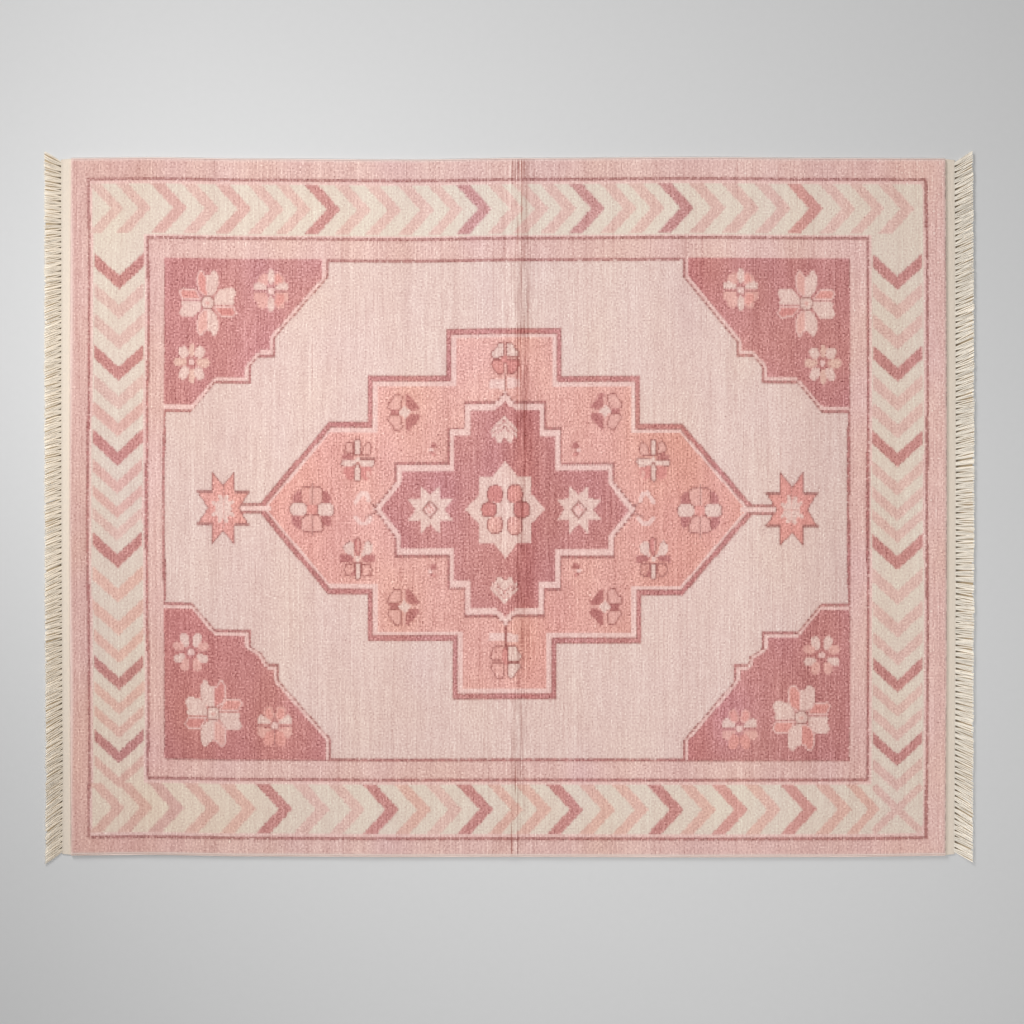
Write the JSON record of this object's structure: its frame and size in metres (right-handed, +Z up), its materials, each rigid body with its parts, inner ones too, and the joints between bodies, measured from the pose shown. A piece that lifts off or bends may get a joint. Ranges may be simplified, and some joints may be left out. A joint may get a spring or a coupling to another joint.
{
  "type": "hand-knotted rug",
  "caption": "Flat hand-knotted wool rug with a stepped medallion, chevron border, overcast long edges and cotton fringe at both short ends.",
  "frame": {"origin": "middle of the rug on the floor it lies on", "axes": "+X along the warps towards one fringed end, +Y across the rug towards the back long edge, +Z up out of the pile"},
  "size_m": [3.2462, 2.4471, 0.0132],
  "materials": {
    "pile_wool": "short cut wool pile, matt, in pinks, rose, coral and cream",
    "selvedge_wool": "wool yarn wrapped round the edge warps, matt, pale pink",
    "warp_cotton": "undyed cotton, flat woven and in loose fringe strands, matt cream"
  },
  "bodies": {
    "root": {"pile_field": "pile_wool", "selvedge_back": "selvedge_wool", "selvedge_front": "selvedge_wool", "end_fringe_left": "warp_cotton", "end_fringe_right": "warp_cotton"}
  },
  "joints": []
}
